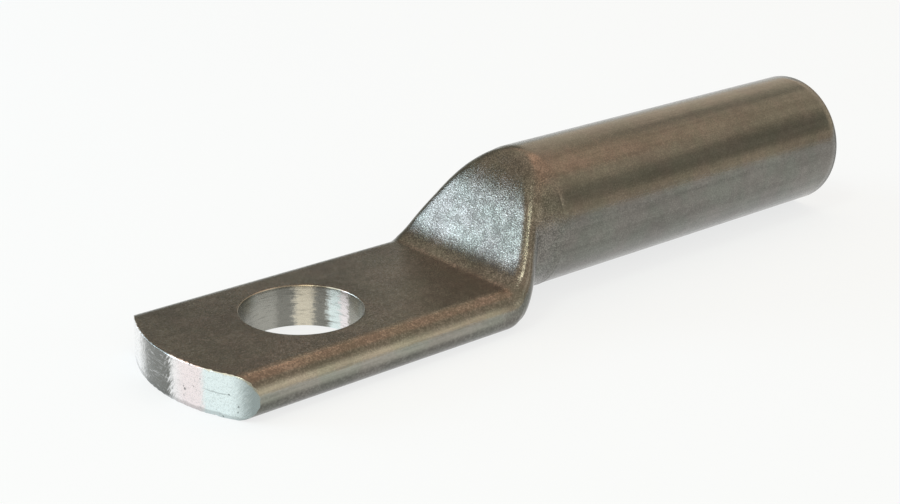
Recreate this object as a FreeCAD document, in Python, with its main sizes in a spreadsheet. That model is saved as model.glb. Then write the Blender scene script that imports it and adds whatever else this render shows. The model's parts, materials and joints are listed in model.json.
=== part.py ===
import FreeCAD, Part
import Sketcher
import math
import os

# Tube lug for a 70 mm2 conductor and an M12 stud: one length of tube, flattened at one end.
# Frame: origin at the stud hole's centre on the underside of the palm, +X along the barrel
# towards its mouth, +Z up through the stud hole. Millimetres.

SIZES = [
    ("barrel_outer", 16.5, "outer diameter of the barrel"),
    ("barrel_wall", 2.5, "wall of the tube that the lug is made from"),
    ("palm_thickness", 4.8, "the two walls pressed together"),
    ("palm_width", 22.8, "width of the palm over its round sides"),
    ("stud_hole", 13.2, "clearance hole for an M12 stud"),
    ("tip_to_stud", 17.0, "from the palm's front end to the hole's centre"),
    ("tip_radius", 20.0, "plan radius of the cut front end"),
    ("stud_to_foot", 21.5, "from the hole's centre to the line where slope and palm meet"),
    ("neck_length", 8.0, "along X, from the foot of the slope to its top"),
    ("stud_to_mouth", 80.0, "from the hole's centre to the barrel's open end"),
    ("shoulder_radius", 1.5, "corner between the slope and the side, at the foot"),
    ("slit_height", 0.5, "height of the hollow where the two walls meet"),
    ("slit_round", 0.15, "corner radius of that slit"),
    ("mouth_break", 0.4, "chamfer on the two edges of the mouth"),
]

# Lengths that several sketches share, worked out from the sheet.
PALM_ROUND = "(Sizes.palm_thickness / 2)"
PALM_FLAT = "(Sizes.palm_width - Sizes.palm_thickness)"
BARREL_RADIUS = "(Sizes.barrel_outer / 2)"
BORE = "(Sizes.barrel_outer - 2 * Sizes.barrel_wall)"
BORE_RADIUS = "(Sizes.barrel_outer / 2 - Sizes.barrel_wall)"
RISE = "(Sizes.barrel_outer - Sizes.palm_thickness)"
SLOPE_RUN = "(Sizes.barrel_wall * sqrt(Sizes.neck_length ^ 2 + %s ^ 2) / %s)" % (RISE, RISE)
SLIT_FLAT = "(Sizes.palm_width - 2 * Sizes.barrel_wall - 1.25 * Sizes.palm_thickness)"

# Places along the neck, as shares of its length: 0 at the slope's foot, 1 at its top.
PALM_END_SHARES = [-0.34, -0.27, -0.20]
NECK_SHARES = [0.0, 0.14, 0.3, 0.5, 0.7, 0.86, 1.0]
BARREL_START_SHARES = [1.18, 1.26, 1.34]
# The same for the hollow: 0 at the slit between the walls, 1 where its roof meets the bore's.
HOLLOW_SHARES = [0.25, 0.5, 0.75, 0.93]
BORE_START_SHARES = [1.12, 1.26]

# How the neck's form runs over those shares.
FOOT_BEND, TOP_BEND = 0.16, 0.24
FLATS_END = 1.14
TOP_CURVE, TOP_POWER = 1.5, 1.15
BOTTOM_LEAD, BOTTOM_POWER, HOLLOW_BOTTOM_POWER = 0.04, 1.4, 1.2
SHOULDER_POWER = 1.6
# Angles at which the edges of a section meet, so that the skin runs on without a twist.
PALM_JOIN = math.radians(60)
BARREL_JOIN = math.radians(36)
CROWN_JOIN = math.radians(87)

os.makedirs("parts", exist_ok=True)
doc = FreeCAD.newDocument("tube_lug")
sheet = doc.addObject("Spreadsheet::Sheet", "Sizes")
for row, (alias, value, note) in enumerate(SIZES, start=1):
    sheet.set("A%d" % row, alias.replace("_", " "))
    sheet.set("B%d" % row, str(value))
    sheet.set("C%d" % row, note)
    sheet.setAlias("B%d" % row, alias)
doc.recompute()

body = doc.addObject("PartDesign::Body", "TubeLug")
body.Label = "tube_lug"
body.Placement = FreeCAD.Placement()


def origin_plane(role):
    """The body's own origin plane with this role, such as YZ_Plane."""
    return next(item for item in body.Origin.OriginFeatures if item.Role == role)


def value_of(expression):
    """What an expression on the sheet comes to now."""
    return float(body.evalExpression(expression))


def new_sketch(name, role, offset="0"):
    """An empty sketch parallel to an origin plane, at an offset given as an expression."""
    sketch = body.newObject("Sketcher::SketchObject", name)
    sketch.AttachmentSupport = [(origin_plane(role), "")]
    sketch.MapMode = "FlatFace"
    sketch.setExpression("AttachmentOffset.Base.z", offset)
    return sketch


def constrain(sketch, kind, *items):
    """A constraint with no size, such as Coincident."""
    sketch.addConstraint(Sketcher.Constraint(kind, *items))


def bind(sketch, name, expression, kind, *items):
    """A constraint whose size is tied to an expression, under a name."""
    index = sketch.addConstraint(Sketcher.Constraint(kind, *items, value_of(expression)))
    sketch.renameConstraint(index, name)
    sketch.setExpression("Constraints." + name, expression)


def arc(centre_x, centre_y, radius, start, end):
    """An arc in a sketch, counter-clockwise between two angles in radians."""
    circle = Part.Circle(FreeCAD.Vector(centre_x, centre_y, 0), FreeCAD.Vector(0, 0, 1), radius)
    return Part.ArcOfCircle(circle, start, end)


def line(start, end):
    """A straight edge in a sketch."""
    return Part.LineSegment(FreeCAD.Vector(start[0], start[1], 0), FreeCAD.Vector(end[0], end[1], 0))


def smooth(share):
    """S-curve from 0 to 1 with flat ends."""
    share = min(max(share, 0.0), 1.0)
    return share * share * (3.0 - 2.0 * share)


def between(start, end, share):
    """Expression for the value that lies this share of the way from start to end."""
    return "(%s + %.4f * (%s - %s))" % (start, share, end, start)


def add_section_edges(sketch, half_bottom, half_top, lower, upper, base, height, join):
    """Six edges of a cross-section: bottom, lower round, upper round, top, and the two
    rounds back down the other side. join is the angle at which two rounds meet."""
    quarter = math.pi / 2
    top = base + height
    z_low, z_high = base + lower, top - upper
    sketch.addGeometry([
        line((-half_bottom, base), (half_bottom, base)),
        arc(half_bottom, z_low, lower, -quarter, join),
        arc(half_top, z_high, upper, join, quarter),
        line((half_top, top), (-half_top, top)),
        arc(-half_top, z_high, upper, quarter, math.pi - join),
        arc(-half_bottom, z_low, lower, math.pi - join, 3 * quarter),
    ], False)
    for first, second in ((0, 1), (2, 3), (3, 4), (5, 0)):
        constrain(sketch, "Tangent", first, 2, second, 1)
    constrain(sketch, "Symmetric", 0, 1, 0, 2, -2)


def palm_section(name, station):
    """The palm's cross-section: two flats between full round sides, each side split where
    the neck's two rounds meet."""
    sketch = new_sketch(name, "YZ_Plane", station)
    radius, flat = value_of(PALM_ROUND), value_of(PALM_FLAT)
    add_section_edges(sketch, flat / 2, flat / 2, radius, radius, 0.0, 2 * radius, PALM_JOIN)
    for lower_edge, upper_edge in ((1, 2), (5, 4)):
        constrain(sketch, "Coincident", lower_edge, 3, upper_edge, 3)
    constrain(sketch, "Coincident", 1, 2, 2, 1)
    constrain(sketch, "Coincident", 4, 2, 5, 1)
    constrain(sketch, "Horizontal", 3)
    constrain(sketch, "PointOnObject", 0, 2, -1)
    bind(sketch, "height", "Sizes.palm_thickness", "DistanceY", 0, 2, 3, 1)
    bind(sketch, "flat", PALM_FLAT, "DistanceX", 0, 1, 0, 2)
    split = "%s * %.5f" % (PALM_ROUND, math.sin(PALM_JOIN))
    bind(sketch, "split_near", split, "DistanceY", 1, 3, 1, 2)
    bind(sketch, "split_far", split, "DistanceY", 4, 3, 4, 2)
    return sketch


def pressed_section(name, station, size):
    """A half-formed cross-section, flat on top and below, with two rounds on each side.
    size holds expressions: base, height, bottom and top (flat lengths) and shoulder (the
    upper radius). The lower radius follows, because the two rounds are tangent."""
    sketch = new_sketch(name, "YZ_Plane", station)
    base, height, shoulder = value_of(size["base"]), value_of(size["height"]), value_of(size["shoulder"])
    half_bottom, half_top = value_of(size["bottom"]) / 2, value_of(size["top"]) / 2
    belly = height / 2 + (half_top - half_bottom) ** 2 / (2 * (height - 2 * shoulder))
    join = math.atan2(height - belly - shoulder, half_top - half_bottom)
    add_section_edges(sketch, half_bottom, half_top, belly, shoulder, base, height, join)
    constrain(sketch, "Tangent", 1, 2, 2, 1)
    constrain(sketch, "Tangent", 4, 2, 5, 1)
    constrain(sketch, "Symmetric", 3, 1, 3, 2, -2)
    constrain(sketch, "Equal", 2, 4)
    bind(sketch, "base", size["base"], "DistanceY", -1, 1, 0, 2)
    bind(sketch, "height", size["height"], "DistanceY", 0, 2, 3, 1)
    bind(sketch, "bottom", size["bottom"], "DistanceX", 0, 1, 0, 2)
    bind(sketch, "top", size["top"], "DistanceX", 3, 2, 3, 1)
    bind(sketch, "shoulder", size["shoulder"], "Radius", 2)
    return sketch


def round_section(name, station, radius):
    """A true circle about the barrel's axis, split into six arcs that continue the six
    edges of the pressed sections. radius is an expression."""
    sketch = new_sketch(name, "YZ_Plane", station)
    axis_height, size = value_of(BARREL_RADIUS), value_of(radius)
    angles = [CROWN_JOIN - math.pi, -CROWN_JOIN, BARREL_JOIN, CROWN_JOIN, math.pi - CROWN_JOIN,
              math.pi - BARREL_JOIN, math.pi + CROWN_JOIN]
    sketch.addGeometry([arc(0, axis_height, size, angles[i], angles[i + 1]) for i in range(6)], False)
    for edge in range(1, 6):
        constrain(sketch, "Coincident", 0, 3, edge, 3)
        constrain(sketch, "Coincident", edge - 1, 2, edge, 1)
    constrain(sketch, "PointOnObject", 0, 3, -2)
    # the left ends lie level with the right ones, and the last arc closes on the first
    constrain(sketch, "Horizontal", 0, 1, 0, 2)
    constrain(sketch, "Horizontal", 2, 2, 3, 2)
    constrain(sketch, "Horizontal", 1, 2, 4, 2)
    constrain(sketch, "Vertical", 5, 2, 0, 1)
    crown_offset = "%s * %.5f" % (radius, math.cos(CROWN_JOIN))
    bind(sketch, "axis_height", BARREL_RADIUS, "DistanceY", -1, 1, 0, 3)
    bind(sketch, "radius", radius, "Radius", 0)
    bind(sketch, "bottom_half", crown_offset, "DistanceX", 0, 3, 0, 2)
    bind(sketch, "top_half", crown_offset, "DistanceX", 0, 3, 2, 2)
    bind(sketch, "side", "%s * %.5f" % (radius, math.sin(BARREL_JOIN)), "DistanceY", 0, 3, 1, 2)
    return sketch


def neck_station(share):
    """X of a neck section."""
    return "Sizes.stud_to_foot + %.3f * Sizes.neck_length" % share


def hollow_station(share):
    """X of a section of the hollow. Its roof runs parallel to the outer slope, one wall
    inside it, from the slit where the walls meet up to the roof of the bore."""
    slit_drop = "(Sizes.palm_thickness - Sizes.barrel_wall - Sizes.slit_height)"
    drop = "(%s - %.4f * (%s - Sizes.slit_height))" % (slit_drop, share, BORE)
    return "Sizes.stud_to_foot + %s - %s * Sizes.neck_length / %s" % (SLOPE_RUN, drop, RISE)


def rise_share(share):
    """Height of the slope: straight between a tight bend at its foot and a wide one on top."""
    if abs(share) < FOOT_BEND:
        return (share + FOOT_BEND) ** 2 / (4 * FOOT_BEND)
    if abs(share - 1) < TOP_BEND:
        return 1 - (1 + TOP_BEND - share) ** 2 / (4 * TOP_BEND)
    return min(max(share, 0.0), 1.0)


def top_share(share):
    """How much of the palm's flat width the sloping face still has."""
    return (1.0 - (max(share, 0.0) / FLATS_END) ** TOP_CURVE) ** TOP_POWER


def bottom_share(share, power):
    """How much of the palm's flat width the underside still has."""
    return (1.0 - (share + BOTTOM_LEAD) / FLATS_END) ** power


def neck_section(name, share):
    """One outer section of the neck."""
    shoulder = between("Sizes.shoulder_radius", BARREL_RADIUS, (share / FLATS_END) ** SHOULDER_POWER)
    return pressed_section(name, neck_station(share), {
        "base": "0",
        "height": between("Sizes.palm_thickness", "Sizes.barrel_outer", rise_share(share)),
        "bottom": "%.4f * %s" % (bottom_share(share, BOTTOM_POWER), PALM_FLAT),
        "top": "%.4f * %s" % (top_share(share), PALM_FLAT),
        "shoulder": between(PALM_ROUND, shoulder, smooth(4 * share + 0.5)),
    })


def hollow_section(name, share):
    """One section of the hollow between the slit and the bore."""
    return pressed_section(name, hollow_station(share), {
        "base": "Sizes.barrel_wall",
        "height": between("Sizes.slit_height", BORE, share),
        "bottom": "%.4f * %s" % (bottom_share(share, HOLLOW_BOTTOM_POWER), SLIT_FLAT),
        "top": "%.4f * %s" % (top_share(share), SLIT_FLAT),
        "shoulder": between("Sizes.slit_round", BORE_RADIUS, (share / FLATS_END) ** SHOULDER_POWER),
    })


def slit_section(name):
    """The thin end of the hollow, where the two walls come together."""
    return pressed_section(name, hollow_station(0.0), {
        "base": "Sizes.barrel_wall",
        "height": "Sizes.slit_height",
        "bottom": SLIT_FLAT + " - Sizes.slit_round",
        "top": SLIT_FLAT,
        "shoulder": "Sizes.slit_round",
    })


def feature(kind, name, profile, **settings):
    """A feature on one profile sketch. It has to add or remove material."""
    before = body.Tip.Shape.Volume if body.Tip else 0.0
    item = body.newObject(kind, name)
    item.Profile = (profile, [""])
    for setting, value in settings.items():
        if setting == "Length":
            item.setExpression("Length", value)
        else:
            setattr(item, setting, value)
    body.Tip = item
    doc.recompute()
    if item.Shape.isNull() or not item.Shape.isValid() or abs(item.Shape.Volume - before) < 1.0:
        raise RuntimeError(name + " failed or changed nothing")
    print(name, round(item.Shape.Volume - before, 1))
    return item


def tip_sketch():
    """Plan of what is cut away in front of the tip: an arc centred on the palm's middle
    line, closed by three straight edges that clear the palm."""
    sketch = new_sketch("TipPlan", "XY_Plane")
    radius = value_of("Sizes.tip_radius")
    centre = "Sizes.tip_radius - Sizes.tip_to_stud"
    across = "1.15 * Sizes.palm_width"
    ahead = "Sizes.tip_to_stud + 0.1 * Sizes.palm_width"
    side, front = value_of(across) / 2, -value_of(ahead)
    spread = math.asin(side / radius)
    corner = value_of(centre) - radius * math.cos(spread)
    sketch.addGeometry([
        arc(value_of(centre), 0, radius, math.pi - spread, math.pi + spread),
        line((corner, -side), (front, -side)),
        line((front, -side), (front, side)),
        line((front, side), (corner, side)),
    ], False)
    for edge in range(4):
        constrain(sketch, "Coincident", edge, 2, (edge + 1) % 4, 1)
    constrain(sketch, "PointOnObject", 0, 3, -1)
    constrain(sketch, "Horizontal", 1)
    constrain(sketch, "Horizontal", 3)
    constrain(sketch, "Symmetric", 2, 1, 2, 2, -1)
    bind(sketch, "radius", "Sizes.tip_radius", "Radius", 0)
    bind(sketch, "centre", centre, "DistanceX", -1, 1, 0, 3)
    bind(sketch, "across", across, "DistanceY", 2, 1, 2, 2)
    bind(sketch, "ahead", ahead, "DistanceX", 2, 1, -1, 1)
    return sketch


def stud_sketch():
    """Plan of the stud hole, at the origin."""
    sketch = new_sketch("StudPlan", "XY_Plane")
    radius = "Sizes.stud_hole / 2"
    sketch.addGeometry(Part.Circle(FreeCAD.Vector(0, 0, 0), FreeCAD.Vector(0, 0, 1), value_of(radius)), False)
    constrain(sketch, "Coincident", 0, 3, -1, 1)
    bind(sketch, "radius", radius, "Radius", 0)
    return sketch


# Palm: the flattened end of the tube, drawn at its inner end and carried out to the tip.
palm_sections = [palm_section("PalmSection%d" % number, neck_station(share))
                 for number, share in enumerate(PALM_END_SHARES, start=1)]
feature("PartDesign::Pad", "Palm", palm_sections[0], Reversed=True,
        Length=neck_station(PALM_END_SHARES[0]) + " + Sizes.tip_to_stud")

# Neck: the tube opening out from the flat to the round.
neck_sections = [neck_section("NeckSection%d" % number, share)
                 for number, share in enumerate(NECK_SHARES, start=1)]
barrel_sections = [round_section("BarrelSection%d" % number, neck_station(share), BARREL_RADIUS)
                   for number, share in enumerate(BARREL_START_SHARES, start=1)]
feature("PartDesign::AdditiveLoft", "Neck", palm_sections[0],
        Sections=palm_sections[1:] + neck_sections + barrel_sections)

# Barrel: the round tube, up to its open mouth.
feature("PartDesign::Pad", "Barrel", barrel_sections[-1],
        Length="Sizes.stud_to_mouth - (%s)" % neck_station(BARREL_START_SHARES[-1]))

# Bore: the conductor's seat, and behind it the hollow that closes where the walls meet.
bore_sections = [round_section("BoreSection%d" % number, hollow_station(share), BORE_RADIUS)
                 for number, share in enumerate(BORE_START_SHARES, start=1)]
feature("PartDesign::Pocket", "Bore", bore_sections[-1], Reversed=True, Type="ThroughAll")
slit = slit_section("SlitSection")
hollow_sections = [hollow_section("HollowSection%d" % number, share)
                   for number, share in enumerate(HOLLOW_SHARES, start=1)]
feature("PartDesign::SubtractiveLoft", "Hollow", slit, Sections=hollow_sections + bore_sections)

# The tip's rounded end and the stud hole, both cut straight through the palm.
feature("PartDesign::Pocket", "TipCut", tip_sketch(), Reversed=True, Type="ThroughAll")
stud_cut = feature("PartDesign::Pocket", "StudHole", stud_sketch(), Reversed=True, Type="ThroughAll")

# Mouth: both edges of the cut end are broken.
mouth_x = value_of("Sizes.stud_to_mouth")
mouth_edges = ["Edge%d" % number for number, edge in enumerate(stud_cut.Shape.Edges, start=1)
               if edge.BoundBox.XMin > mouth_x - 0.001]
mouth = body.newObject("PartDesign::Chamfer", "MouthBreak")
mouth.Base = (stud_cut, mouth_edges)
mouth.setExpression("Size", "Sizes.mouth_break")
body.Tip = mouth
doc.recompute()

for item in doc.Objects:
    if "Invalid" in item.State or "Error" in item.State:
        raise RuntimeError(item.Name + " failed: " + " ".join(item.State))
shape = body.Shape
if shape.isNull() or not shape.isValid() or len(shape.Solids) != 1:
    raise RuntimeError("tube_lug has no valid single solid")
print("volume", round(shape.Volume, 1), "faces", len(shape.Faces), "mouth edges", len(mouth_edges))
shape.exportStep("parts/" + body.Label + ".step")
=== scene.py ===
import json
import math

import bmesh
import bpy
import numpy as np
from bpy.props import FloatProperty, FloatVectorProperty, PointerProperty
from mathutils import Matrix, Vector


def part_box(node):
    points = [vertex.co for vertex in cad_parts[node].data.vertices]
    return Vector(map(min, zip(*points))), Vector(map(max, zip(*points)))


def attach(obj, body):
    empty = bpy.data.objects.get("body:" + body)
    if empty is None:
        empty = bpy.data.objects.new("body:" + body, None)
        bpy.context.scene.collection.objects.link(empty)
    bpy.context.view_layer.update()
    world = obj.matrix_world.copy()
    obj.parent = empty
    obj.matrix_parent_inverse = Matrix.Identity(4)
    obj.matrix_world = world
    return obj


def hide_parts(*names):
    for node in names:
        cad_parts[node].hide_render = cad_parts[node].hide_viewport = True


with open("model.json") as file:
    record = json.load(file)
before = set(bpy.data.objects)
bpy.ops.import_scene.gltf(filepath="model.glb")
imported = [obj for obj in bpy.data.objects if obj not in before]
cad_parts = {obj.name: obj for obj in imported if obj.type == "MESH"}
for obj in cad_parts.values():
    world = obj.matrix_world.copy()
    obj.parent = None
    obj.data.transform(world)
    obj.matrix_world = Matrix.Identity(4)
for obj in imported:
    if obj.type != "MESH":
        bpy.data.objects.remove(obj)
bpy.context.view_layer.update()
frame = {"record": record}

bl_info = {
    "name": "Tube Lug Dresser",
    "version": (1, 0, 0),
    "blender": (4, 5, 0),
    "location": "3D View > Sidebar > Tube Lug",
    "description": "Builds the formed skin, the tinned finish and the studio of a tube cable lug",
    "category": "Object",
}

MM = 0.001
NODE = "tube_lug"
BODY = "root"


def mount(name):
    """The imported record's mount with this name."""
    return next(item for item in frame["record"]["mounts"] if item["name"] == name)


def mount_radius(name):
    """Radius of a round mount, in metres."""
    return mount(name)["dims"]["r_mm"] * MM


def length(name, description, default):
    """A property that holds a length in metres."""
    return FloatProperty(name=name, description=description, default=default, subtype="DISTANCE",
                         unit="LENGTH", precision=5)


def share(name, description, default):
    """A property that holds a share or a strength."""
    return FloatProperty(name=name, description=description, default=default)


def colour(name, description, default):
    """A property that holds a linear colour."""
    return FloatVectorProperty(name=name, description=description, default=default, subtype="COLOR",
                               size=3, min=0.0, max=1.0)


LOW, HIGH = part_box(NODE)


class LugSizes(bpy.types.PropertyGroup):
    """The lug's driving sizes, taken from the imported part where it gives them."""
    barrel_radius: length("Barrel radius", "Outer radius of the barrel", mount_radius("barrel_outside"))
    bore_radius: length("Bore radius", "Radius of the conductor's seat", mount_radius("barrel_bore"))
    hole_radius: length("Stud hole radius", "Radius of the stud hole", mount_radius("stud_hole"))
    palm_thickness: length("Palm thickness", "The two walls pressed together",
                           mount("washer_face")["pos_m"][2])
    palm_width: length("Palm width", "Width of the palm over its round sides", HIGH.y - LOW.y)
    tip: length("Tip to stud", "From the front end to the hole's centre", -LOW.x)
    mouth: length("Stud to mouth", "From the hole's centre to the barrel's open end", HIGH.x)
    tip_radius: length("Tip radius", "Plan radius of the cut front end", 20.0 * MM)
    foot: length("Stud to foot", "From the hole's centre to the foot of the slope", 21.65 * MM)
    neck: length("Neck length", "From the foot of the slope to its top, along the barrel", 7.5 * MM)
    shoulder: length("Shoulder radius", "Corner between slope and side on the neck", 2.2 * MM)
    slit: length("Slit height", "Height of the hollow where the two walls meet", 0.5 * MM)
    mouth_break: length("Mouth break", "Chamfer on the mouth's edges", 0.15 * MM)
    cut_edge: length("Cut edge", "Radius that shear and punch leave on an edge", 0.12 * MM)


class LugFinish(bpy.types.PropertyGroup):
    """Colours and grain of the tin plating and of the cut faces, with the colours of the painted
    reflections and highlights on them.
    """
    tin: colour("Tin", "Plating at its cleanest", (0.27, 0.268, 0.246))
    mottle: colour("Mottle", "Plating in the pits of the grain", (0.09, 0.089, 0.079))
    cut: colour("Cut face", "Bright metal of the sheared front end", (0.93, 0.93, 0.93))
    sawn: colour("Sawn face", "Metal of the barrel's open end", (0.6, 0.59, 0.55))
    # The next two colours are painted reflections of warm and cool light: the first in the middle of the
    # front end, the second towards its right corner and in a band down the stud hole's wall
    warm_reflection: colour("Blush", "Warm tint in the middle of the front end", (0.9, 0.82, 0.82))
    cool_reflection: colour("Frost", "Cool tint towards the front end's right corner", (0.80, 0.91, 0.91))
    # This colour is a painted dark reflection in a band across the front end
    dark_reflection: colour("Smear", "Dull band that the shear leaves on the front end", (0.165, 0.168, 0.155))
    pierced: colour("Pierced wall", "Wall of the stud hole", (0.37, 0.365, 0.33))
    # This colour is a painted warm reflection in a band down the stud hole's wall
    wall_warm_reflection: colour("Honey", "Warm band of the stud hole's wall", (0.68, 0.63, 0.51))
    lining: colour("Lining", "Plating inside the tube", (0.62, 0.58, 0.5))
    # This colour is a painted highlight in a band along the palm's rounded sides
    fold: colour("Fold", "Plating that the press burnished along the palm's sides", (0.42, 0.42, 0.37))
    grain: length("Grain", "Size of the plating's grain", 0.15 * MM)
    gloss: share("Roughness", "Roughness of the clean plating", 0.11)


class LugStudio(bpy.types.PropertyGroup):
    """Floor, lamps, cards and camera."""
    floor: colour("Floor", "Colour of the floor", (0.74, 0.88, 1.0))
    glow: share("Floor's glow", "Share of plain white in the floor as the camera and metal see it", 0.75)
    key_power: share("Key", "Radiance of the soft lamp behind the slope", 8.0)
    warm_power: share("Warm", "Radiance of the warm lamps above the barrel", 0.38)
    side_power: share("Side", "Radiance of the lamp low on the near side", 0.45)
    glint_power: share("Glint", "Radiance of the small high lamp on the camera's left", 10.0)
    room: colour("Room", "Light of the room around the stage", (0.93, 0.78, 0.61))
    dark_card: colour("Dark cards", "Light of the dark cards behind the lug", (0.31, 0.29, 0.23))
    grey_card: colour("Grey cards", "Light of the grey cards beyond the barrel", (0.46, 0.42, 0.34))
    pale_card: colour("Pale card", "Light of the pale card along the horizon", (0.74, 0.75, 0.72))
    azimuth: FloatProperty(name="Camera azimuth", description="Angle from +X to the picture's right",
                           default=math.radians(-41.284), subtype="ANGLE", unit="ROTATION")
    elevation: FloatProperty(name="Camera elevation", description="Angle of the camera above the table",
                             default=math.radians(21.193), subtype="ANGLE", unit="ROTATION")
    roll: FloatProperty(name="Camera roll", description="Turn of the picture about its middle",
                        default=math.radians(0.955), subtype="ANGLE", unit="ROTATION")
    reach: length("Camera distance", "From the point looked at to the camera", 190.278 * MM)
    target: FloatVectorProperty(name="Looked-at point", description="Middle of the picture",
                                default=(19.171 * MM, -1.722 * MM, 7.100 * MM), subtype="XYZ",
                                unit="LENGTH", size=3)
    focal: FloatProperty(name="Focal length", description="Focal length on a 36 mm wide sensor",
                         default=68.608, unit="CAMERA")


# Chips on the front end's edge: place across in mm, on the upper edge or not, depth in mm
EDGE_NICKS = ((8.9, True, 0.05), (2.3, True, 0.16), (1.6, True, 0.08), (-2.9, True, 0.06),
              (-6.6, True, 0.08), (-8.1, True, 0.06), (-1.5, False, 0.12), (-4.6, False, 0.06),
              (-7.0, False, 0.22), (4.4, False, 0.07))

# Columns of half a ring, and the columns and rows of the square that the stud hole takes up
HALF_COLUMNS = 128
HOLE_COLUMNS = 38
HOLE_ROWS = 60

# Steps and rings along the skin, from the front end to the hollow, and round the stud hole
FRONT_STEPS = 16
EDGE_STEPS = 4
LEAD_RINGS = 18
PALM_STEPS = 16
NECK_STEPS = 120
BARREL_STEPS = 40
FACE_RINGS = 4
BORE_RINGS = 25
HOLLOW_RINGS = 40
COLLAR_RINGS = 8
WALL_RINGS = 16

# Slots of the skin's finishes, in their order
TINNED, CUT, PIERCED, LINED = range(4)

# How the neck's section changes, as shares of the neck's length from the foot of the slope
TOP_GONE = 1.2
SHOULDER_START = 0.45
SHOULDER_RUN = 0.75
SIDE_START = 0.12
SIDE_RUN = 0.52

# Where the neck joins the barrel, first below the shoulder and then all round, and where the
# fold line beside it comes and goes, as spans of the same shares
JOIN_BELOW = (0.4, 0.5)
JOIN_ROUND = (0.95, 1.35)
CREASE_START = (0.5, 0.65)
CREASE_END = (1.0, 1.15)

# The same inside, as shares of the hollow's rise: it is round, it starts, and the bore ends
HOLLOW_ROUND = 1.14
HOLLOW_START = 1.28
BORE_END = 1.3


def smooth(value):
    """S-curve from 0 to 1 with flat ends: 3 v^2 - 2 v^3 of the value held between 0 and 1."""
    value = np.clip(value, 0.0, 1.0)
    return value * value * (3.0 - 2.0 * value)


def eased(value, span):
    """S-curve from 0 at the span's start to 1 at its end."""
    return smooth((value - span[0]) / (span[1] - span[0]))


def ramp(t, bend):
    """0 below -bend and t above bend, with the parabola (t + bend)^2 / (4 bend) between."""
    return np.where(t < -bend, 0.0, np.where(t > bend, t, (t + bend) ** 2 / (4 * bend)))


def rise_share(t, foot_bend=0.2, top_bend=0.44):
    """Height of the slope from 0 to 1: t itself, with a parabola across each of the two bends,
    (t + bend)^2 / (4 bend) at the foot and 1 - (1 + bend - t)^2 / (4 bend) at the top."""
    foot = (t + foot_bend) ** 2 / (4 * foot_bend)
    top = 1 - (1 + top_bend - t) ** 2 / (4 * top_bend)
    middle = np.where(t < foot_bend, foot, np.where(t > 1 - top_bend, top, t))
    return np.where(t < -foot_bend, 0.0, np.where(t > 1 + top_bend, 1.0, middle))


def half_outline(height, top, bottom, shoulder):
    """Right half of pressed cross-sections, one row for each station, at equal steps of length
    from the middle of the underside to the middle of the top. A half is a straight bottom, a
    large arc, a small arc tangent to it and a straight top. The large arc's radius is
    height / 2 + (top - bottom)^2 / (2 (height - 2 shoulder)), which makes the two arcs tangent."""
    least = 0.02 * MM
    shoulder = np.minimum(shoulder, height / 2)
    belly = height / 2 + (top - bottom) ** 2 / (2 * np.maximum(height - 2 * shoulder, least))
    join = np.arctan2(height - belly - shoulder + 1e-9, top - bottom)
    spans = [bottom, belly * (join + np.pi / 2), shoulder * (np.pi / 2 - join), top]
    ends = np.cumsum(spans, axis=0)[:, :, None]
    run = np.linspace(0.0, 1.0, HALF_COLUMNS + 1)[None, :] * ends[3]
    height, top, bottom = height[:, None], top[:, None], bottom[:, None]
    shoulder, belly, join = shoulder[:, None], belly[:, None], join[:, None]
    low = (run - ends[0]) / belly - np.pi / 2
    high = (run - ends[1]) / shoulder + join
    pieces = [run < ends[0], run < ends[1], run < ends[2]]
    y = np.select(pieces, [run, bottom + belly * np.cos(low), top + shoulder * np.cos(high)],
                  ends[3] - run)
    z = np.select(pieces, [0 * run, belly + belly * np.sin(low),
                           height - shoulder + shoulder * np.sin(high)], height + 0 * run)
    return y, z


def rings(x, y, z):
    """Closed rings from right halves: the half and its mirror image, station by station."""
    x = np.broadcast_to(x, y.shape)
    right = np.stack([x, y, z], axis=-1)
    left = right[:, -2:0:-1] * (1.0, -1.0, 1.0)
    return np.concatenate([right, left], axis=1)


def outer_half(sizes, x):
    """Right halves of the outer skin at stations x. Along the neck the height follows the
    slope, the flat on top narrows as (1 - (t / its end)^1.35)^0.9, the shoulder grows into the
    barrel's radius with a power of 2.1 and the side draws in, each until the section is the
    barrel's circle."""
    t = (x - sizes.foot) / sizes.neck
    radius, thick = sizes.barrel_radius, sizes.palm_thickness
    flat = (sizes.palm_width - thick) / 2
    height = thick + rise_share(t) * (2 * radius - thick)
    top = flat * (1 - np.clip(t / TOP_GONE, 0.0, 1.0) ** 1.35) ** 0.9
    grown = np.clip((t - SHOULDER_START) / SHOULDER_RUN, 0.0, 1.0) ** 2.1
    shoulder = sizes.shoulder + grown * (radius - sizes.shoulder)
    shoulder = np.minimum(thick / 2 + smooth(4 * t + 0.5) * (shoulder - thick / 2), height / 2)
    drawn_in = ramp((t - SIDE_START) / SIDE_RUN, 0.5)
    half_width = sizes.palm_width / 2 - drawn_in * (sizes.palm_width / 2 - radius)
    room = np.maximum(height - 2 * shoulder, 0.001 * MM)
    excess = (top + height / 2 - half_width) / room
    bottom = np.maximum(top - room * (1 - np.sqrt(np.clip(1 - 2 * excess, 0.0, 1.0))), 0.0)
    y, z = half_outline(height, top, bottom, shoulder)
    return over_barrel(sizes, t[:, None], y, z, height[:, None], shoulder[:, None])


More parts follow.
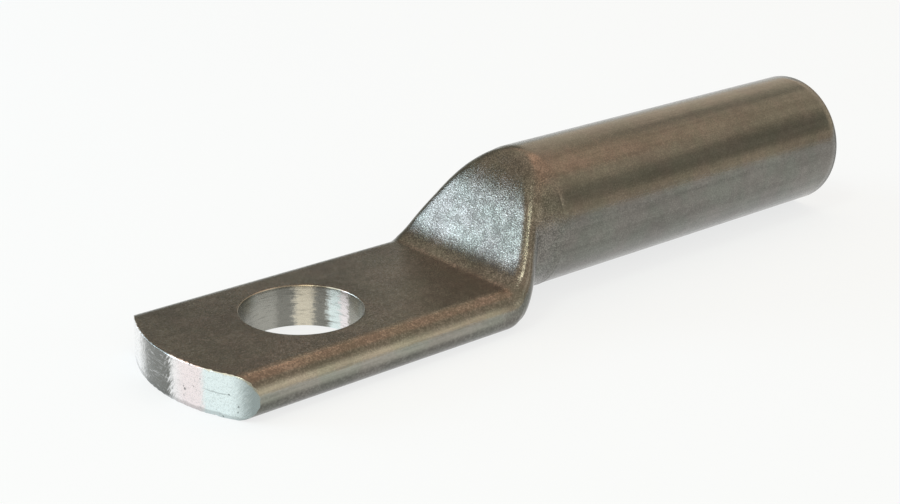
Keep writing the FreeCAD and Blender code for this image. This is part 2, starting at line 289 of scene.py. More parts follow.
def over_barrel(sizes, t, y, z, height, shoulder):
    """The pressed section joined with the round barrel: below the shoulder, and all round at
    the top of the slope, a point inside the barrel's circle moves out to it. The join is a soft
    maximum of the two radii, (r + R + sqrt((r - R)^2 + s^2) - s e^(-|r - R| / s)) / 2 for a
    softness s, with a crease where they are equal, which is the fold line beside the neck. No
    point sinks below the table."""
    radius = sizes.barrel_radius
    soft = 0.3 * MM
    crease_depth = 0.07 * MM
    crease_width = 0.1 * MM
    crease_top = 10.5 * MM
    crease_fade = 3.0 * MM
    rise = z - radius
    reach = np.maximum(np.hypot(y, rise), 0.01 * MM)
    apart = reach - radius
    joined = (reach + radius + np.sqrt(apart ** 2 + soft ** 2) - soft * np.exp(-np.abs(apart) / soft)) / 2
    side = eased(t, JOIN_BELOW) * smooth((height - 0.25 * shoulder - z) / (0.6 * shoulder))
    side = 1 - (1 - side) * (1 - eased(t, JOIN_ROUND))
    crease = crease_depth * np.exp(-(apart / crease_width) ** 2) * eased(t, CREASE_START)
    crease = crease * (1 - eased(t, CREASE_END)) * smooth((crease_top - z) / crease_fade)
    pull = 1 + side * ((joined - crease) / reach - 1)
    return y * pull, np.maximum(radius + rise * pull, 0.0)


def hollow_half(sizes, t):
    """X and right halves of the hollow. Its roof runs one wall inside the slope, so a station is
    t of the way from the slit to the bore's roof. Its flats narrow and its corners grow with
    powers of t, and past HOLLOW_ROUND it is the round bore."""
    wall = sizes.barrel_radius - sizes.bore_radius
    climb = 2 * sizes.barrel_radius - sizes.palm_thickness
    gap = 2 * sizes.bore_radius - sizes.slit
    drop = sizes.palm_thickness - wall - sizes.slit - t * gap
    slope_run = wall * math.hypot(sizes.neck, climb) / climb
    x = sizes.foot + slope_run - drop * sizes.neck / climb
    flat = (sizes.palm_width - 2 * wall - 1.25 * sizes.palm_thickness) / 2
    reach = np.clip(t / HOLLOW_ROUND, 0.0, 1.0)
    corner = 0.3 * sizes.slit
    height = sizes.slit + np.clip(t, 0.0, 1.0) * gap
    top = flat * (1 - reach ** 1.5) ** 1.15
    bottom = flat * (1 - np.clip((t + 0.04) / HOLLOW_ROUND, 0.0, 1.0)) ** 1.2
    shoulder = corner + reach ** 1.6 * (sizes.bore_radius - corner)
    y, z = half_outline(height, top, bottom, shoulder)
    return x, y, z + wall


def tip_x(sizes, y):
    """X of the front end at this y: a circle of the tip's radius about the palm's middle line."""
    return sizes.tip_radius - sizes.tip - np.sqrt(sizes.tip_radius ** 2 - y ** 2)


def ragged(count, width, seed):
    """Random values round a closed ring, smooth over about this many steps, of spread 1: white
    noise whose waves are weakened by e^-(rate width / count)^2."""
    values = np.random.default_rng(seed).standard_normal(count)
    rate = np.fft.rfftfreq(count, 1.0 / count)
    values = np.fft.irfft(np.fft.rfft(values) * np.exp(-(rate * width / count) ** 2), count)
    return values / values.std()


def nicks(sizes, ring):
    """Depth of the small chips along the front end's edge: a narrow bell at each chip's place."""
    width = 0.13 * MM
    depth = np.zeros(len(ring))
    for y, upper, size in EDGE_NICKS:
        near = (ring[:, 1] - y * MM) / width
        side = (ring[:, 2] > sizes.palm_thickness / 2) == upper
        depth += size * MM * np.exp(-near ** 2) * side
    return depth


def front_rings(sizes):
    """The cut front end: rings that grow from the palm's middle line to its outline, then round
    the cut edge on a quarter circle whose radius is ragged and chipped."""
    y, z = outer_half(sizes, np.zeros(1))
    thick = sizes.palm_thickness
    flat = (sizes.palm_width - thick) / 2
    outline = rings(0.0, y, z)[0]
    centre = outline * 1.0
    centre[:, 1] = np.clip(outline[:, 1], -flat, flat)
    centre[:, 2] = thick / 2
    wander = 0.35 * ragged(len(outline), width=2.0, seed=5)
    edge = sizes.cut_edge * (1 + wander) + nicks(sizes, outline)
    edge = np.maximum(edge, 0.3 * sizes.cut_edge)
    inner = 1 - 2 * edge / thick
    grow = np.linspace(0.0, 1.0, FRONT_STEPS + 1)[:, None] * inner
    turn = np.linspace(0.0, np.pi / 2, EDGE_STEPS + 1)[1:, None]
    grow = np.concatenate([grow, 1 - (1 - np.sin(turn)) * (1 - inner)])
    back = np.concatenate([0 * grow[:FRONT_STEPS + 1], (1 - np.cos(turn)) * edge])
    grid = centre + grow[:, :, None] * (outline - centre)
    grid[:, :, 0] = tip_x(sizes, grid[:, :, 1]) + back
    return grid


def palm_and_neck_rings(sizes, rim):
    """The outer skin from the rim of the cut front end to the barrel's open end, the row at
    which the stud hole starts and how far its square reaches. In front of the hole the stations
    close up on the curved end."""
    y, z = outer_half(sizes, np.zeros(1))
    step = y[0, HALF_COLUMNS - 1]
    patch = HOLE_COLUMNS * step
    lead = np.linspace(0.0, 1.0, LEAD_RINGS + 2)[1:-1, None, None] ** 1.6
    square = rings(-patch + 0 * y, y, z)[0]
    front = rim + lead * (square - rim)
    neck_start = sizes.foot - 0.5 * sizes.neck
    neck_end = sizes.foot + 1.5 * sizes.neck
    stations = np.concatenate([
        np.linspace(-patch, patch, HOLE_ROWS + 1),
        np.linspace(patch, neck_start, PALM_STEPS + 1)[1:],
        np.linspace(neck_start, neck_end, NECK_STEPS + 1)[1:],
        np.linspace(neck_end, sizes.mouth - sizes.mouth_break, BARREL_STEPS + 1)[1:],
    ])
    y, z = outer_half(sizes, stations)
    return np.concatenate([front, rings(stations[:, None], y, z)]), len(front), patch


def mouth_and_bore_rings(sizes):
    """The broken edges and flat face of the mouth, then the bore and the hollow behind it,
    which closes on the line where the two walls meet."""
    around = np.linspace(-np.pi / 2, np.pi / 2, HALF_COLUMNS + 1)[None, :]
    chamfer, radius, bore = sizes.mouth_break, sizes.barrel_radius, sizes.bore_radius
    bore_end = hollow_half(sizes, np.array([BORE_END]))[0][0]
    deep = np.linspace(sizes.mouth - chamfer, bore_end, BORE_RINGS)
    x = np.concatenate([[sizes.mouth] * FACE_RINGS, deep])[:, None]
    face = np.linspace(radius - chamfer, bore + chamfer, FACE_RINGS)
    reach = np.concatenate([face, np.full(len(deep), bore)])[:, None]
    round_part = rings(x + 0 * around, reach * np.cos(around), radius + reach * np.sin(around))
    x, y, z = hollow_half(sizes, np.linspace(HOLLOW_START, 0.0, HOLLOW_RINGS))
    hollow = rings(x[:, None], y, z)
    middle = (y[-1:] + y[-1:, ::-1]) / 2
    closed = rings(x[-1:, None], middle, np.full_like(middle, z[-1].mean()))
    return np.concatenate([round_part, hollow, closed])


def hole_rings(sizes, skin, first_row, patch):
    """Rings of the stud hole: from a square loop of the palm's top in to the hole's edge, down
    its wall and out to the same loop of the underside. The edges are quarter circles."""
    rows = first_row + np.arange(HOLE_ROWS + 1)
    across = np.arange(-HOLE_COLUMNS, HOLE_COLUMNS + 1)
    loop_rows = np.concatenate([np.full(len(across) - 1, rows[0]), rows[:-1],
                                np.full(len(across) - 1, rows[-1]), rows[:0:-1]])
    loop_across = np.concatenate([across[:-1], np.full(HOLE_ROWS, across[-1]),
                                  across[:0:-1], np.full(HOLE_ROWS, across[0])])
    top_loop = skin[loop_rows, HALF_COLUMNS + loop_across]
    under_loop = skin[loop_rows, -loop_across % (2 * HALF_COLUMNS)]
    angle = np.arctan2(top_loop[:, 1], top_loop[:, 0])
    radial = np.stack([np.cos(angle), np.sin(angle), 0 * angle], axis=-1)
    up = np.array([0.0, 0.0, 1.0])
    thick, radius, edge = sizes.palm_thickness, sizes.hole_radius, sizes.cut_edge

    turn = np.linspace(0.0, np.pi / 2, EDGE_STEPS + 1)[:, None, None]
    top_edge = radial * (radius + edge * (1 - np.sin(turn))) + up * (thick - edge * (1 - np.cos(turn)))
    under_edge = radial * (radius + edge * (1 - np.cos(turn))) + up * (edge * (1 - np.sin(turn)))
    lead = np.linspace(0.0, 1.0, COLLAR_RINGS + 1)[:-1, None, None]
    top = top_loop + lead * (top_edge[0] - top_loop)
    under = under_edge[-1] + (1 - lead[::-1]) * (under_loop - under_edge[-1])
    depth = np.linspace(thick - edge, edge, WALL_RINGS + 2)[1:-1, None, None]
    wall = radial * radius + up * depth
    return np.concatenate([top, top_edge, wall, under_edge, under])


def ring_faces(count, columns, first):
    """Quads between successive rings of a closed grid, as corner numbers from first on: quad
    i, j has corners (i, j), (i, j + 1), (i + 1, j + 1) and (i + 1, j), with j going round."""
    i, j = np.meshgrid(np.arange(count - 1), np.arange(columns), indexing="ij")
    k = (j + 1) % columns
    return first + np.stack([i * columns + j, i * columns + k, (i + 1) * columns + k,
                             (i + 1) * columns + j], axis=-1)


def build_skin(sizes):
    """The lug's whole skin as one closed mesh: a train of rings from the front end over the
    outside and back through the bore, with a square left out of the palm's top and underside,
    where the stud hole's own train of rings joins it."""
    columns = 2 * HALF_COLUMNS
    front = front_rings(sizes)
    outside, hole_row, patch = palm_and_neck_rings(sizes, front[-1])
    skin = np.concatenate([front, outside, mouth_and_bore_rings(sizes)])
    hole = hole_rings(sizes, skin, len(front) + hole_row, patch)

    faces = ring_faces(len(skin), columns, 0)
    kept = np.ones(faces.shape[:2], bool)
    rows = slice(len(front) + hole_row, len(front) + hole_row + HOLE_ROWS)
    kept[rows, HALF_COLUMNS - HOLE_COLUMNS:HALF_COLUMNS + HOLE_COLUMNS] = False
    kept[rows, :HOLE_COLUMNS] = False
    kept[rows, -HOLE_COLUMNS:] = False
    material = np.full(faces.shape[:2], TINNED)
    material[:len(front) - 1] = CUT
    mouth_row = len(front) + len(outside)
    material[mouth_row - 1:mouth_row + FACE_RINGS] = CUT
    material[mouth_row + FACE_RINGS:] = LINED

    hole_faces = ring_faces(len(hole), hole.shape[1], skin.shape[0] * columns)
    hole_material = np.full(hole_faces.shape[:2], TINNED)
    hole_material[COLLAR_RINGS + 1:-COLLAR_RINGS - 1] = PIERCED
    corners = np.concatenate([skin.reshape(-1, 3), hole.reshape(-1, 3)])
    quads = np.concatenate([faces[kept], hole_faces.reshape(-1, 4)])
    return corners, quads, np.concatenate([material[kept], hole_material.reshape(-1)])


def add_piece(name, corners, quads, materials, material_of_face):
    """A smooth mesh object at the origin from arrays. Corners that coincide are made one."""
    mesh = bpy.data.meshes.new(name)
    mesh.from_pydata(corners, [], quads.tolist())
    mesh.polygons.foreach_set("material_index", material_of_face)
    for material in materials:
        mesh.materials.append(material)
    shell = bmesh.new()
    shell.from_mesh(mesh)
    bmesh.ops.remove_doubles(shell, verts=shell.verts, dist=0.0001 * MM)
    shell.to_mesh(mesh)
    shell.free()
    mesh.polygons.foreach_set("use_smooth", np.ones(len(mesh.polygons), bool))
    mesh.update()
    piece = bpy.data.objects.new(name, mesh)
    bpy.context.scene.collection.objects.link(piece)
    return piece


def check_closed(piece):
    """Raises an error unless each edge of the piece belongs to exactly two faces."""
    edge_of_corner = np.zeros(len(piece.data.loops), int)
    piece.data.loops.foreach_get("edge_index", edge_of_corner)
    faces_on_edge = np.bincount(edge_of_corner, minlength=len(piece.data.edges))
    if not len(faces_on_edge) or np.any(faces_on_edge != 2):
        raise RuntimeError(f"{piece.name} is not closed")


class Wire:
    """A shader socket in an expression. Arithmetic on it adds Math nodes to its own tree."""

    def __init__(self, tree, socket):
        self.tree = tree
        self.socket = socket

    def node(self, kind, settings=None, sockets=None, output=0):
        """Adds a node of this type, with its settings set first and then the values or links of
        its sockets, and gives the wire from one of its outputs."""
        added = self.tree.nodes.new(kind)
        for name, value in (settings or {}).items():
            setattr(added, name, value)
        for name, value in (sockets or {}).items():
            if isinstance(value, Wire):
                self.tree.links.new(value.socket, added.inputs[name])
            else:
                added.inputs[name].default_value = value
        return Wire(self.tree, added.outputs[output])

    def math(self, operation, first, second=0.0, clamp=False):
        """A Math node on two wires or numbers."""
        return self.node("ShaderNodeMath", {"operation": operation, "use_clamp": clamp},
                         {0: first, 1: second})

    def __add__(self, other):
        return self.math("ADD", self, other)

    __radd__ = __add__

    def __sub__(self, other):
        return self.math("SUBTRACT", self, other)

    def __rsub__(self, other):
        return self.math("SUBTRACT", other, self)

    def __mul__(self, other):
        return self.math("MULTIPLY", self, other)

    __rmul__ = __mul__

    def unsigned(self):
        """This value without its sign."""
        return self.math("ABSOLUTE", self)

    def below(self, limit):
        """1 where this value is under the limit, else 0."""
        return self.math("LESS_THAN", self, limit)

    def vector(self, x, y, z):
        """A vector from three wires or numbers."""
        return self.node("ShaderNodeCombineXYZ", None, {0: x, 1: y, 2: z})

    def held(self):
        """This value held between 0 and 1."""
        return self.math("ADD", self, 0.0, clamp=True)

    def band(self, low, high):
        """0 below low, 1 above high and a smooth step between."""
        return self.node("ShaderNodeMapRange", {"interpolation_type": "SMOOTHSTEP"},
                         {"Value": self, "From Min": low, "From Max": high})

    def step(self, span):
        """0 before a span given in mm, 1 after it and a smooth step between."""
        return self.band(span[0] * MM, span[1] * MM)

    def hump(self, middle, width):
        """1 at the middle value and 0 beyond the width on either side, smoothly."""
        return 1 - (self - middle).unsigned().band(0.3 * width, width)

    def blend(self, first, second):
        """The colour this share of the way from first to second."""
        first, second = [shade if isinstance(shade, Wire) else (*shade, 1.0)
                         for shade in (first, second)]
        return self.node("ShaderNodeMix", {"data_type": "RGBA"}, {0: self, 6: first, 7: second},
                         output=2)

    def part(self, axis):
        """One component of a vector."""
        return self.node("ShaderNodeSeparateXYZ", None, {0: self}, output="XYZ".index(axis))

    def scaled(self, stretch):
        """A vector with each component multiplied by its own number."""
        return self.node("ShaderNodeVectorMath", {"operation": "MULTIPLY"}, {0: self, 1: stretch})

    def noise(self, size, detail=2.0, roughness=0.5, warp=0.0):
        """Cloudy noise from 0 to 1, with features about size across, at this place."""
        return self.node("ShaderNodeTexNoise", None,
                         {"Vector": self, "Scale": 1.0 / size, "Detail": detail, "Roughness": roughness,
                          "Distortion": warp})


def new_finish(name, **constants):
    """A material with one Principled shader, its constants set, and the object-space place."""
    material = bpy.data.materials.new(name)
    material.use_nodes = True
    tree = material.node_tree
    shader = next(node for node in tree.nodes if node.type == "BSDF_PRINCIPLED")
    for socket, value in constants.items():
        shader.inputs[socket.replace("_", " ")].default_value = value
    place = Wire(tree, tree.nodes.new("ShaderNodeTexCoord").outputs["Object"])
    return material, shader, place


def connect(shader, **wires):
    """Links wires to the shader's sockets."""
    for socket, wire in wires.items():
        wire.tree.links.new(wire.socket, shader.inputs[socket.replace("_", " ")])


def bump(height, distance, under=None):
    """A bumped normal from a height of 0 to 1 that stands this many metres high."""
    sockets = {"Height": height, "Distance": distance}
    if under:
        sockets["Normal"] = under
    return height.node("ShaderNodeBump", None, sockets)


# Spans of the plating, in mm in the part's frame: along X, over |Y| and over Z
BARREL_SKIN = (28.0, 33.0)
PALM_END = (20.0, 24.0)
PALM_TOP = (4.9, 5.6)
SIDE_SMOOTH = (8.8, 10.6)
# Band of painted highlight along the palm's rounded sides: where it comes in over |Y| and ends along X,
# and its height and width over Z
PAINTED_SHEEN_SIDE = (9.6, 11.0)
PAINTED_SHEEN_END = (17.0, 22.0)
PAINTED_SHEEN_HEIGHT = 2.9
PAINTED_SHEEN_WIDTH = 1.2
# Tints of the cloudy patches, olive and brown
OLIVE = (0.97, 0.99, 0.95)
BROWN = (1.03, 0.98, 0.97)


def tinned_finish(finish):
    """Satin tin plating: fine pits with dark winding lines between them, cloudy patches that
    lean to olive or brown, and faint lines drawn along the tube. Pressing roughened the neck
    and speckled the palm. A painted highlight lies in a band along the palm's rounded sides.
    The barrel kept the tube's smoother skin with its streaks."""
    material, shader, place = new_finish("tinned_metal", Metallic=1.0)
    x, y, z = [place.part(axis) for axis in "XYZ"]
    grain = place.noise(finish.grain, detail=3.0, roughness=0.6)
    winding = (place.noise(1.7 * finish.grain, detail=1.0) - 0.5).unsigned().band(0.0, 0.09)
    cloud = place.noise(1.1 * MM, detail=3.0, roughness=0.55)
    wide = place.noise(6.0 * MM, detail=2.0)
    drawn = place.scaled((0.06, 1.0, 1.0)).noise(0.35 * MM, detail=2.0)
    streak = place.scaled((0.04, 1.0, 1.0)).noise(1.1 * MM, detail=3.0, roughness=0.6)
    coarse = (place.noise(0.5 * MM, detail=2.0, warp=0.3) - 0.5).unsigned().band(0.0, 0.11)

    barrel = x.step(BARREL_SKIN)
    palm = (1 - z.step(PALM_TOP)) * (1 - x.step(PALM_END))
    worked = (1 - 0.55 * barrel) * (1 - 0.5 * y.unsigned().step(SIDE_SMOOTH))
    mottle = (0.6 * grain + 0.2 * cloud + 0.2 * wide).band(0.4, 0.6) * (0.4 + 0.6 * winding)
    mottle = (0.5 + worked * (mottle - 0.5)) * (1 - 0.6 * palm * (1 - coarse))
    mottle = mottle + 0.16 * barrel * (streak.band(0.35, 0.65) - 0.5)
    base = mottle.blend(finish.mottle, finish.tin)

    # Painted highlight: a lighter band at one height along the palm's rounded sides
    fold = y.unsigned().step(PAINTED_SHEEN_SIDE) * z.hump(PAINTED_SHEEN_HEIGHT * MM, PAINTED_SHEEN_WIDTH * MM)
    fold = fold * (1 - x.step(PAINTED_SHEEN_END))
    base = (fold * (0.2 + 0.7 * drawn)).blend(base, finish.fold)
    tone = place.noise(3.5 * MM, detail=3.0).band(0.35, 0.65).blend(OLIVE, BROWN)
    base = base.node("ShaderNodeVectorMath", {"operation": "MULTIPLY"}, {0: base, 1: tone})
    rough = finish.gloss + 0.1 * (1 - mottle) + 0.05 * (drawn - 0.5)
    normal = bump(drawn, 0.007 * MM)
    normal = bump(worked * grain, 0.034 * MM, under=normal)
    connect(shader, Base_Color=base, Roughness=rough, Normal=normal)
    return material


# Spans across the cut front end, in mm along Y, over which a tone comes or goes: the painted dark
# reflection, the plain bright cut, the painted warm reflection and the painted shade of the right corner
DARK_REFLECTION_START = (-1.9, -0.4)
DARK_REFLECTION_END = (2.8, 6.6)
BRIGHT_START = (-3.5, -1.0)
WARM_REFLECTION_START = (-6.2, -5.2)
PAINTED_CORNER_END = (-11.0, -8.6)

# The seam of the two walls on the cut front end, in mm: its height and its middle along Y
SEAM_HEIGHT = 2.6
SEAM_MIDDLE = -7.4

# Shades of the cut metal: the painted shade of its right corner, pits, burr, specks and drawn lines
PAINTED_CORNER_SHADE = (0.12, 0.15, 0.14)
PIT_SHADE = (0.05, 0.06, 0.06)
BURR_SHADE = (0.1, 0.11, 0.11)
SPECK_SHADE = (0.3, 0.33, 0.33)
LINE_SHADE = (0.3, 0.32, 0.32)


def cut_finish(finish):
    """Sheared metal of the front end and the mouth: bright, with a painted dark reflection in a dull
    band, painted warm and cool reflections, painted shade at the right corner, lines drawn across
    the thickness, the seam of the two walls, small pits and specks, and a burr along the lower edge.
    X is below 0 on the front end only, so the painted reflections and shade stay off the mouth, which is
    sawn."""
    material, shader, place = new_finish("cut_metal", Metallic=1.0)
    x, y, z = [place.part(axis) for axis in "XYZ"]
    front = x.below(0.0)
    slant = place.vector(x, y + 0.8 * z, 0.16 * (z - 0.8 * y))
    lines = slant.noise(0.22 * MM, detail=3.0, roughness=0.6)
    along = place.vector(x, 0.1 * y, z).noise(0.2 * MM, detail=3.0, roughness=0.6)
    cloud = place.noise(0.9 * MM, detail=3.0)

    # Ragged edges for the painted dark reflection, the painted corner shade and the painted warm and cool
    # reflections
    dark_reflection_y = y + (4.5 * MM) * (lines - 0.5)
    painted_corner_y = y + (1.5 * MM) * (lines - 0.5)
    tint_y = y + (1.2 * MM) * (lines - 0.5)
    # Painted reflections: cool towards the right corner, warm in the middle, then the plain bright cut
    base = tint_y.step(WARM_REFLECTION_START).blend(finish.cool_reflection, finish.warm_reflection)
    base = y.step(BRIGHT_START).blend(base, finish.cut)
    # Painted shade darkens the front end's right corner
    base = (0.25 + 0.75 * painted_corner_y.step(PAINTED_CORNER_END)).blend(PAINTED_CORNER_SHADE, base)
    base = front.blend(finish.sawn, base)
    # Painted dark reflection: a dull band across the front end, streaked by drawn lines
    dark_reflection = dark_reflection_y.step(DARK_REFLECTION_START) * (1 - dark_reflection_y.step(DARK_REFLECTION_END)) * front
    base = (dark_reflection * (1 - 0.5 * along.band(0.55, 0.7))).blend(base, finish.dark_reflection)

    seam_z = z + 0.3 * MM * (cloud - 0.5)
    seam = seam_z.hump(SEAM_HEIGHT * MM, 0.11 * MM) * y.hump(SEAM_MIDDLE * MM, 2.0 * MM)
    pits = place.noise(0.55 * MM, detail=1.0).band(0.73, 0.77)
    base = (0.35 * seam + 0.7 * pits).held().blend(base, PIT_SHADE)
    above_burr = (z - 0.35 * MM + 0.4 * MM * (cloud - 0.5)).band(0.0, 0.25 * MM)
    base = (0.35 * (1 - above_burr)).blend(base, BURR_SHADE)
    speck = place.noise(0.16 * MM, detail=2.0).band(0.52, 0.68)
    base = (0.3 * speck).blend(base, SPECK_SHADE)
    base = (0.22 * along.band(0.5, 0.75)).blend(base, LINE_SHADE)
    normal = bump(along, 0.012 * MM)
    normal = bump(lines, 0.02 * MM, under=normal)
    connect(shader, Base_Color=base, Roughness=0.2 + 0.15 * lines, Normal=normal)
    return material


# Bands of painted reflection down the stud hole's wall, dark, dim, warm, cool and pale: angle round the
# hole from +X and width, in degrees
PAINTED_DARK_BANDS = ((36.0, 10.0), (70.0, 13.0))
PAINTED_DIM_START = (94.0, 125.0)
WALL_WARM_REFLECTION_BAND = (51.0, 13.0)
COOL_REFLECTION_BAND = (20.0, 12.0)
PAINTED_PALE_BAND = (9.0, 8.0)
# Painted shades of the wall's dark and pale reflections, and the shade of its scratches
PAINTED_BAND_SHADE = (0.08, 0.08, 0.07)
PAINTED_PALE_SHADE = (0.95, 0.9, 0.92)
SCRATCH_SHADE = (0.1, 0.1, 0.09)


def hole_finish(finish):
    """Wall of the pierced hole: bands of painted reflection down the wall, dark, warm, cool and
    pale, each at its angle round the hole, under fine scratches that run round it."""
    material, shader, place = new_finish("pierced_metal", Metallic=1.0)
    x, y, z = [place.part(axis) for axis in "XYZ"]
    scratch = place.vector(0.12 * x, 0.12 * y, z).noise(0.2 * MM, detail=3.0, roughness=0.65)
    grain = place.noise(0.3 * MM, detail=3.0)
    turn = place.math("ARCTAN2", y, x) * (180 / math.pi)
    turn = turn + 15.0 * (scratch - 0.5) + 10.0 * (grain - 0.5)
    # Painted reflections round the wall: dark and dim bands, then warm, cool and pale ones
    dark = turn.band(*PAINTED_DIM_START)
    for band in PAINTED_DARK_BANDS:
        dark = dark + turn.hump(*band)
    base = (0.45 * dark.held()).blend(finish.pierced, PAINTED_BAND_SHADE)
    base = turn.hump(*WALL_WARM_REFLECTION_BAND).blend(base, finish.wall_warm_reflection)
    base = turn.hump(*COOL_REFLECTION_BAND).blend(base, finish.cool_reflection)
    base = turn.hump(*PAINTED_PALE_BAND).blend(base, PAINTED_PALE_SHADE)
    base = (0.35 * scratch.band(0.5, 0.7)).blend(base, SCRATCH_SHADE)
    connect(shader, Base_Color=base, Roughness=0.2 + 0.15 * grain, Normal=bump(scratch, 0.015 * MM))
    return material


def bore_finish(finish):
    """Thin, paler and matter plating inside the tube, with lines drawn along it."""
    material, shader, place = new_finish("bore_metal", Metallic=1.0)
    drawn = place.scaled((0.06, 1.0, 1.0)).noise(0.3 * MM, detail=3.0)
    cloud = place.noise(2.0 * MM, detail=3.0)
    base = (0.5 * drawn + 0.5 * cloud).band(0.35, 0.65).blend(finish.lining, finish.cut)
    connect(shader, Base_Color=base, Roughness=0.3 + 0.2 * cloud, Normal=bump(drawn, 0.02 * MM))
    return material


class LUG_OT_skin(bpy.types.Operator):
    """Build the lug's skin with its finishes and check that it is closed"""
    bl_idname = "lug.skin"
    bl_label = "Skin"

    def execute(self, context):
        scene = context.scene
        corners, quads, material_of_face = build_skin(scene.lug_sizes)
        finishes = [make(scene.lug_finish)
                    for make in (tinned_finish, cut_finish, hole_finish, bore_finish)]
        piece = add_piece("lug_skin", corners, quads, finishes, material_of_face)
        check_closed(piece)
        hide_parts(NODE)
        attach(piece, BODY)
        return {"FINISHED"}


# The floor's rings, in metres, and the number of its sides
FLOOR_RADII = (0.0, 0.05, 0.1, 0.2, 0.4, 0.8, 1.6, 3.0)
FLOOR_SIDES = 96

# Cards round the lug: name, low and high corner in degrees of azimuth and elevation, and the
# property that holds the card's light
CARD_RADIUS = 0.6
CARD_COLUMNS = 24
CARDS = (
    ("near_card", (-45.0, 12.0), (-19.0, 31.0), "grey_card"),
    ("top_card", (13.0, 29.0), (28.0, 40.0), "grey_card"),
    ("far_card", (46.0, 9.0), (93.0, 36.0), "dark_card"),
    ("high_card", (93.0, 9.0), (134.0, 42.0), "dark_card"),
    ("horizon_card", (8.0, 1.0), (110.0, 9.0), "pale_card"),
)

# Lamps: name, azimuth and elevation in degrees, distance, width and height in metres, the
# property that holds the radiance and how many times it is taken, and the tint
LAMPS = (
    ("key", 132.0, 15.0, 0.5, 0.32, 0.17, "key_power", 1, (0.72, 0.88, 1.05)),
    ("warm", 8.0, 60.0, 0.6, 0.46, 0.34, "warm_power", 1, (1.0, 0.36, 0.2)),
    ("rose", 36.0, 54.0, 0.6, 0.14, 0.12, "warm_power", 2, (1.0, 0.55, 0.36)),
    ("foot", 60.0, 38.5, 0.6, 0.18, 0.06, "warm_power", 2, (1.0, 0.36, 0.26)),
    ("side", -66.0, 19.0, 0.6, 0.28, 0.34, "side_power", 1, (1.0, 1.0, 0.9)),
    ("glint", 195.0, 57.0, 0.6, 0.12, 0.12, "glint_power", 1, (1.0, 1.0, 0.8)),
)


def direction(azimuth, elevation):
    """Unit vector at this azimuth from +X towards +Y and this height angle, in degrees."""
    turn, tilt = math.radians(azimuth), math.radians(elevation)
    return Vector((math.cos(tilt) * math.cos(turn), math.cos(tilt) * math.sin(turn), math.sin(tilt)))


def add_lamp(name, azimuth, elevation, distance, width, height, radiance, tint, aim):
    """A soft rectangular lamp that looks at a point. Its power gives the stated radiance:
    radiance times area times pi."""
    lamp = bpy.data.lights.new(name, "AREA")
    lamp.shape = "RECTANGLE"
    lamp.size = width
    lamp.size_y = height
    lamp.energy = radiance * width * height * math.pi
    lamp.color = tint
    holder = bpy.data.objects.new(name, lamp)
    toward = direction(azimuth, elevation)
    holder.location = aim + distance * toward
    holder.rotation_euler = toward.to_track_quat("Z", "Y").to_euler()
    bpy.context.scene.collection.objects.link(holder)


def seen(wire):
    """1 where the camera sees the surface, itself or in metal or glass, and 0 for other rays."""
    camera, glossy, through = [wire.node("ShaderNodeLightPath", output=name)
                               for name in ("Is Camera Ray", "Is Glossy Ray", "Is Transmission Ray")]
    return (camera + glossy + through).held()


def add_floor(studio):
    """A round pale floor under the lug, a grid over radius and angle with a corner at
    (r cos a, r sin a). Camera and metal see plain white in it, in the share of the glow."""
    turn = np.linspace(0.0, 2 * np.pi, FLOOR_SIDES + 1)[None, :-1]
    radius = np.array(FLOOR_RADII)[:, None]
    corners = np.stack([radius * np.cos(turn), radius * np.sin(turn), 0 * radius * turn + LOW.z],
                       axis=-1)
    quads = ring_faces(len(radius), turn.shape[1], 0)[..., ::-1].reshape(-1, 4)
    material, shader, place = new_finish("floor_paper", Roughness=0.9)
    shader.inputs["Specular IOR Level"].default_value = 0.0
    shader.inputs["Base Color"].default_value = (*studio.floor, 1.0)
    white = place.node("ShaderNodeEmission", None, {"Color": (1.0, 1.0, 1.0, 1.0), "Strength": 1.0})
    paper = Wire(place.tree, shader.outputs[0])
    mixed = place.node("ShaderNodeMixShader", None, {0: studio.glow * seen(place), 1: paper, 2: white})
    end = next(node for node in place.tree.nodes if node.type == "OUTPUT_MATERIAL")
    place.tree.links.new(mixed.socket, end.inputs["Surface"])
    floor = add_piece("floor", corners.reshape(-1, 3), quads, [material], np.zeros(len(quads), int))


def add_card(name, low, high, shade):
    """A card of even light that stands round the lug and shows only in reflections: part of a
    sphere, a grid over azimuth and elevation, from the low to the high corner in degrees."""
    azimuth = np.radians(np.linspace(low[0], high[0], CARD_COLUMNS))[:, None]
    elevation = np.radians(np.linspace(low[1], high[1], CARD_COLUMNS))[None, :]
    corners = CARD_RADIUS * np.stack([np.cos(elevation) * np.cos(azimuth),
                                      np.cos(elevation) * np.sin(azimuth),
                                      np.sin(elevation) + 0 * azimuth], axis=-1)
    i, j = np.meshgrid(np.arange(CARD_COLUMNS - 1), np.arange(CARD_COLUMNS - 1), indexing="ij")
    first = i * CARD_COLUMNS + j
    quads = np.stack([first, first + 1, first + CARD_COLUMNS + 1, first + CARD_COLUMNS], axis=-1)
    quads = quads.reshape(-1, 4)
    material = bpy.data.materials.new(name)
    material.use_nodes = True
    tree = material.node_tree
    tree.nodes.clear()
    glow = tree.nodes.new("ShaderNodeEmission")
    glow.inputs["Color"].default_value = (*shade, 1.0)
    end = tree.nodes.new("ShaderNodeOutputMaterial")
    tree.links.new(glow.outputs[0], end.inputs["Surface"])
    card = add_piece(name, corners.reshape(-1, 3), quads, [material], np.zeros(len(quads), int))
    card.visible_camera = False


def add_world(studio):
    """The room: an even warm light all round, which the camera itself sees as white."""
    world = bpy.data.worlds.new("surround")
    world.use_nodes = True
    back = next(node for node in world.node_tree.nodes if node.type == "BACKGROUND")
    start = Wire(world.node_tree, None)
    camera = start.node("ShaderNodeLightPath", output="Is Camera Ray")
    world.node_tree.links.new(camera.blend(studio.room, (1.0, 1.0, 1.0)).socket, back.inputs["Color"])
    back.inputs["Strength"].default_value = 1.0
    bpy.context.scene.world = world


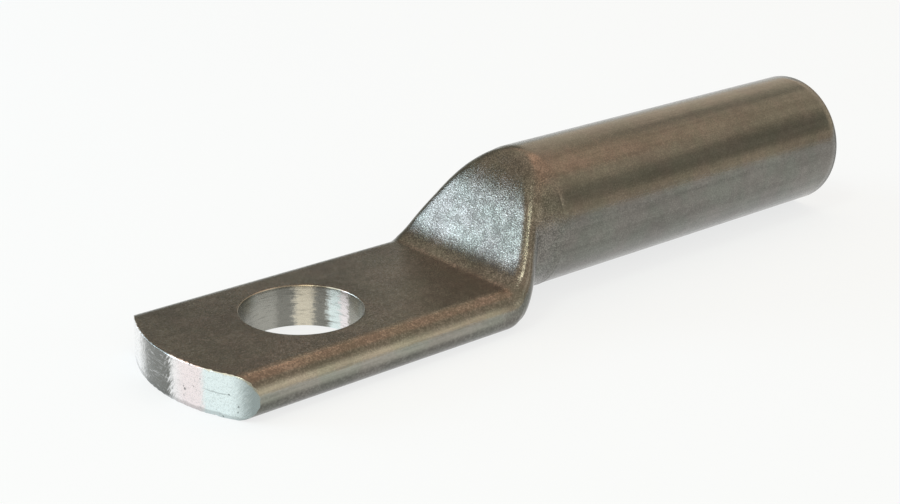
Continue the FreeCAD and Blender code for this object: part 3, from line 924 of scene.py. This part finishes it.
def add_camera(studio):
    """The camera at the photograph's viewing angle: it looks along minus its back axis at the
    middle of the picture, and its right and up axes are turned by the roll."""
    right = Vector((math.cos(studio.azimuth), math.sin(studio.azimuth), 0.0))
    back = Vector((math.sin(studio.azimuth) * math.cos(studio.elevation),
                   -math.cos(studio.azimuth) * math.cos(studio.elevation),
                   math.sin(studio.elevation)))
    up = back.cross(right)
    turned_right = math.cos(studio.roll) * right + math.sin(studio.roll) * up
    turned_up = math.cos(studio.roll) * up - math.sin(studio.roll) * right
    lens = bpy.data.cameras.new("camera")
    lens.lens = studio.focal
    lens.sensor_width = 36.0
    lens.clip_start = 0.01
    lens.clip_end = 20.0
    camera = bpy.data.objects.new("camera", lens)
    axes = Matrix((turned_right, turned_up, back)).transposed()
    camera.matrix_world = (Matrix.Translation(Vector(studio.target) + studio.reach * back)
                           @ axes.to_4x4())
    bpy.context.scene.collection.objects.link(camera)
    bpy.context.scene.camera = camera


class LUG_OT_stage(bpy.types.Operator):
    """Set up floor, lamps, cards and camera"""
    bl_idname = "lug.stage"
    bl_label = "Stage"

    def execute(self, context):
        studio = context.scene.lug_studio
        add_floor(studio)
        for name, low, high, shade in CARDS:
            add_card(name, low, high, getattr(studio, shade))
        add_world(studio)
        for name, azimuth, elevation, distance, width, height, power, times, tint in LAMPS:
            radiance = times * getattr(studio, power)
            add_lamp(name, azimuth, elevation, distance, width, height, radiance, tint,
                     Vector(studio.target))
        add_camera(studio)
        context.scene.view_settings.view_transform = "Standard"
        return {"FINISHED"}


class LUG_PT_panel(bpy.types.Panel):
    """The lug's pieces, stage and values"""
    bl_idname = "LUG_PT_panel"
    bl_label = "Tube Lug"
    bl_space_type = "VIEW_3D"
    bl_region_type = "UI"
    bl_category = "Tube Lug"

    def draw(self, context):
        for operator in OPERATORS:
            self.layout.operator(operator.bl_idname)
        for group in (context.scene.lug_sizes, context.scene.lug_finish, context.scene.lug_studio):
            for name in group.bl_rna.properties.keys():
                if name not in ("rna_type", "name"):
                    self.layout.prop(group, name)


GROUPS = {"lug_sizes": LugSizes, "lug_finish": LugFinish, "lug_studio": LugStudio}
OPERATORS = (LUG_OT_skin, LUG_OT_stage)


def register():
    """Adds the classes and hangs the property groups on the scene."""
    for item in (*GROUPS.values(), *OPERATORS, LUG_PT_panel):
        bpy.utils.register_class(item)
    for name, group in GROUPS.items():
        setattr(bpy.types.Scene, name, PointerProperty(type=group))


def unregister():
    """Takes back what register added."""
    for name in GROUPS:
        delattr(bpy.types.Scene, name)
    for item in (LUG_PT_panel, *reversed(OPERATORS), *reversed(GROUPS.values())):
        bpy.utils.unregister_class(item)


def main():
    """Registers the add-on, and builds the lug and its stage."""
    register()
    bpy.ops.lug.skin()
    bpy.ops.lug.stage()


if __name__ == "__main__":
    main()
